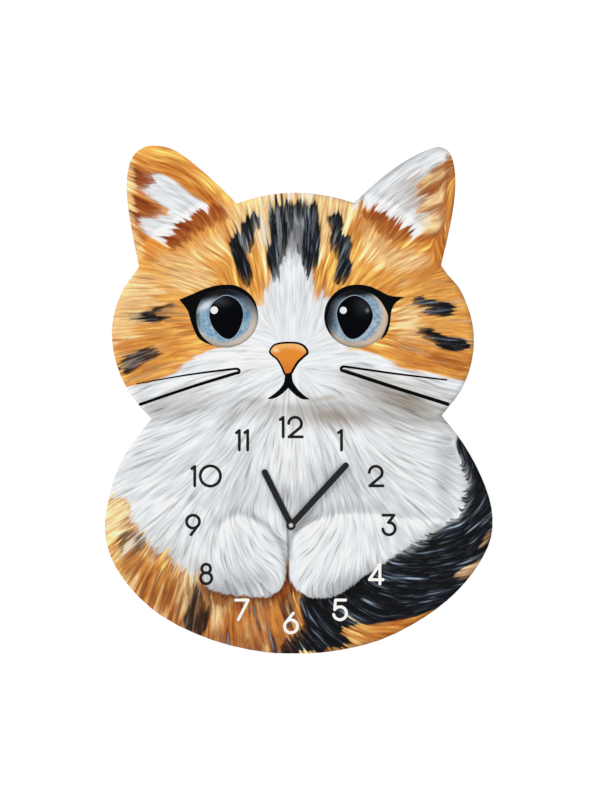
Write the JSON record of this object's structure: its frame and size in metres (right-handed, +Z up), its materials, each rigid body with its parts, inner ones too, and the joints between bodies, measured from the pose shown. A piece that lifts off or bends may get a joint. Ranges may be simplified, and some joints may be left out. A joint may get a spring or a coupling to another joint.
{
  "type": "cat-shaped wall clock",
  "caption": "Flat cat-shaped wall clock with numerals round its belly, plain baton hands, and a quartz movement with its cell, motor, gears and hanger.",
  "frame": {"origin": "on the axis of the hands, at the flat back of the movement, which lies on the wall plane", "axes": "+Z up, -Y out of the face towards the viewer, +Y into the wall, +X to the viewer's right"},
  "size_m": [0.3063, 0.0265, 0.4013],
  "materials": {
    "board": "raw fibreboard, its cut edge brown",
    "print": "printed film, satin to gloss",
    "foam": "double-sided foam pad, matte",
    "wood": "plain sanded wood",
    "steel": "zinc plated",
    "case": "moulded, fine texture",
    "plate": "moulded, natural",
    "battery": null,
    "circuit": "green solder mask",
    "crystal": "drawn can",
    "epoxy": "potting drop",
    "lamination": "soft iron sheet",
    "copper": "enamelled copper wire",
    "magnet": "sintered magnet on its arbor",
    "wheel": "acetal, natural",
    "knob": "moulded",
    "hand": "satin black paint"
  },
  "bodies": {
    "clock": {"face_panel": "board", "printed_facing": "print", "adhesive_pad": "foam", "hanger_block": "wood", "sawtooth_hanger": "steel", "hanger_screw_left": "steel", "hanger_screw_right": "steel", "movement_case": "case", "movement_rear_cover": "case", "middle_plate": "plate", "battery": "battery", "battery_contact_positive": "steel", "battery_contact_negative": "steel", "circuit_board": "circuit", "quartz_crystal": "crystal", "chip_blob": "epoxy", "stator": "lamination", "coil_core": "lamination", "coil_bobbin": "plate", "coil_winding": "copper"},
    "minute": {"minute_arbor": "wheel", "minute_hand": "hand"},
    "hour": {"hour_wheel": "wheel", "hour_hand": "hand"},
    "motion": {"motion_wheel": "wheel"},
    "knob": {"setting_knob": "knob"},
    "second": {"second_wheel": "wheel"},
    "intermediate": {"intermediate_wheel": "wheel"},
    "rotor": {"rotor": "magnet"},
    "third": {"third_wheel": "wheel"},
    "centre": {"centre_wheel": "wheel"}
  },
  "joints": [
    {"name": "minute_spin", "type": "hinge", "parent": "clock", "child": "minute", "pos_m": [0, 0, 0], "axis": [0, 1, 0], "continuous": true},
    {"name": "hour_spin", "type": "hinge", "parent": "clock", "child": "hour", "pos_m": [0, 0, 0], "axis": [0, 1, 0], "continuous": true},
    {"name": "motion_wheel_spin", "type": "hinge", "parent": "clock", "child": "motion", "pos_m": [0.00864, 0, 0], "axis": [0, 1, 0], "continuous": true},
    {"name": "knob_spin", "type": "hinge", "parent": "clock", "child": "knob", "pos_m": [0.01728, 0, 0], "axis": [0, 1, 0], "continuous": true},
    {"name": "second_wheel_spin", "type": "hinge", "parent": "clock", "child": "second", "pos_m": [0, 0, 0], "axis": [0, 1, 0], "continuous": true},
    {"name": "intermediate_wheel_spin", "type": "hinge", "parent": "clock", "child": "intermediate", "pos_m": [0.00486, 0, 0.00579], "axis": [0, 1, 0], "continuous": true},
    {"name": "rotor_spin", "type": "hinge", "parent": "clock", "child": "rotor", "pos_m": [0.00671, 0, 0.01087], "axis": [0, 1, 0], "continuous": true},
    {"name": "third_wheel_spin", "type": "hinge", "parent": "clock", "child": "third", "pos_m": [-0.00663, 0, 0.00382], "axis": [0, 1, 0], "continuous": true},
    {"name": "centre_wheel_spin", "type": "hinge", "parent": "clock", "child": "centre", "pos_m": [0, 0, 0], "axis": [0, 1, 0], "continuous": true}
  ],
  "couplings": [
    {"joint": "hour_spin", "follows": "minute_spin", "ratio": 0.083333},
    {"joint": "motion_wheel_spin", "follows": "minute_spin", "ratio": -0.33333},
    {"joint": "knob_spin", "follows": "minute_spin", "ratio": 1},
    {"joint": "intermediate_wheel_spin", "follows": "second_wheel_spin", "ratio": -6},
    {"joint": "rotor_spin", "follows": "second_wheel_spin", "ratio": 30},
    {"joint": "third_wheel_spin", "follows": "second_wheel_spin", "ratio": -0.13333},
    {"joint": "centre_wheel_spin", "follows": "second_wheel_spin", "ratio": 0.016667}
  ]
}
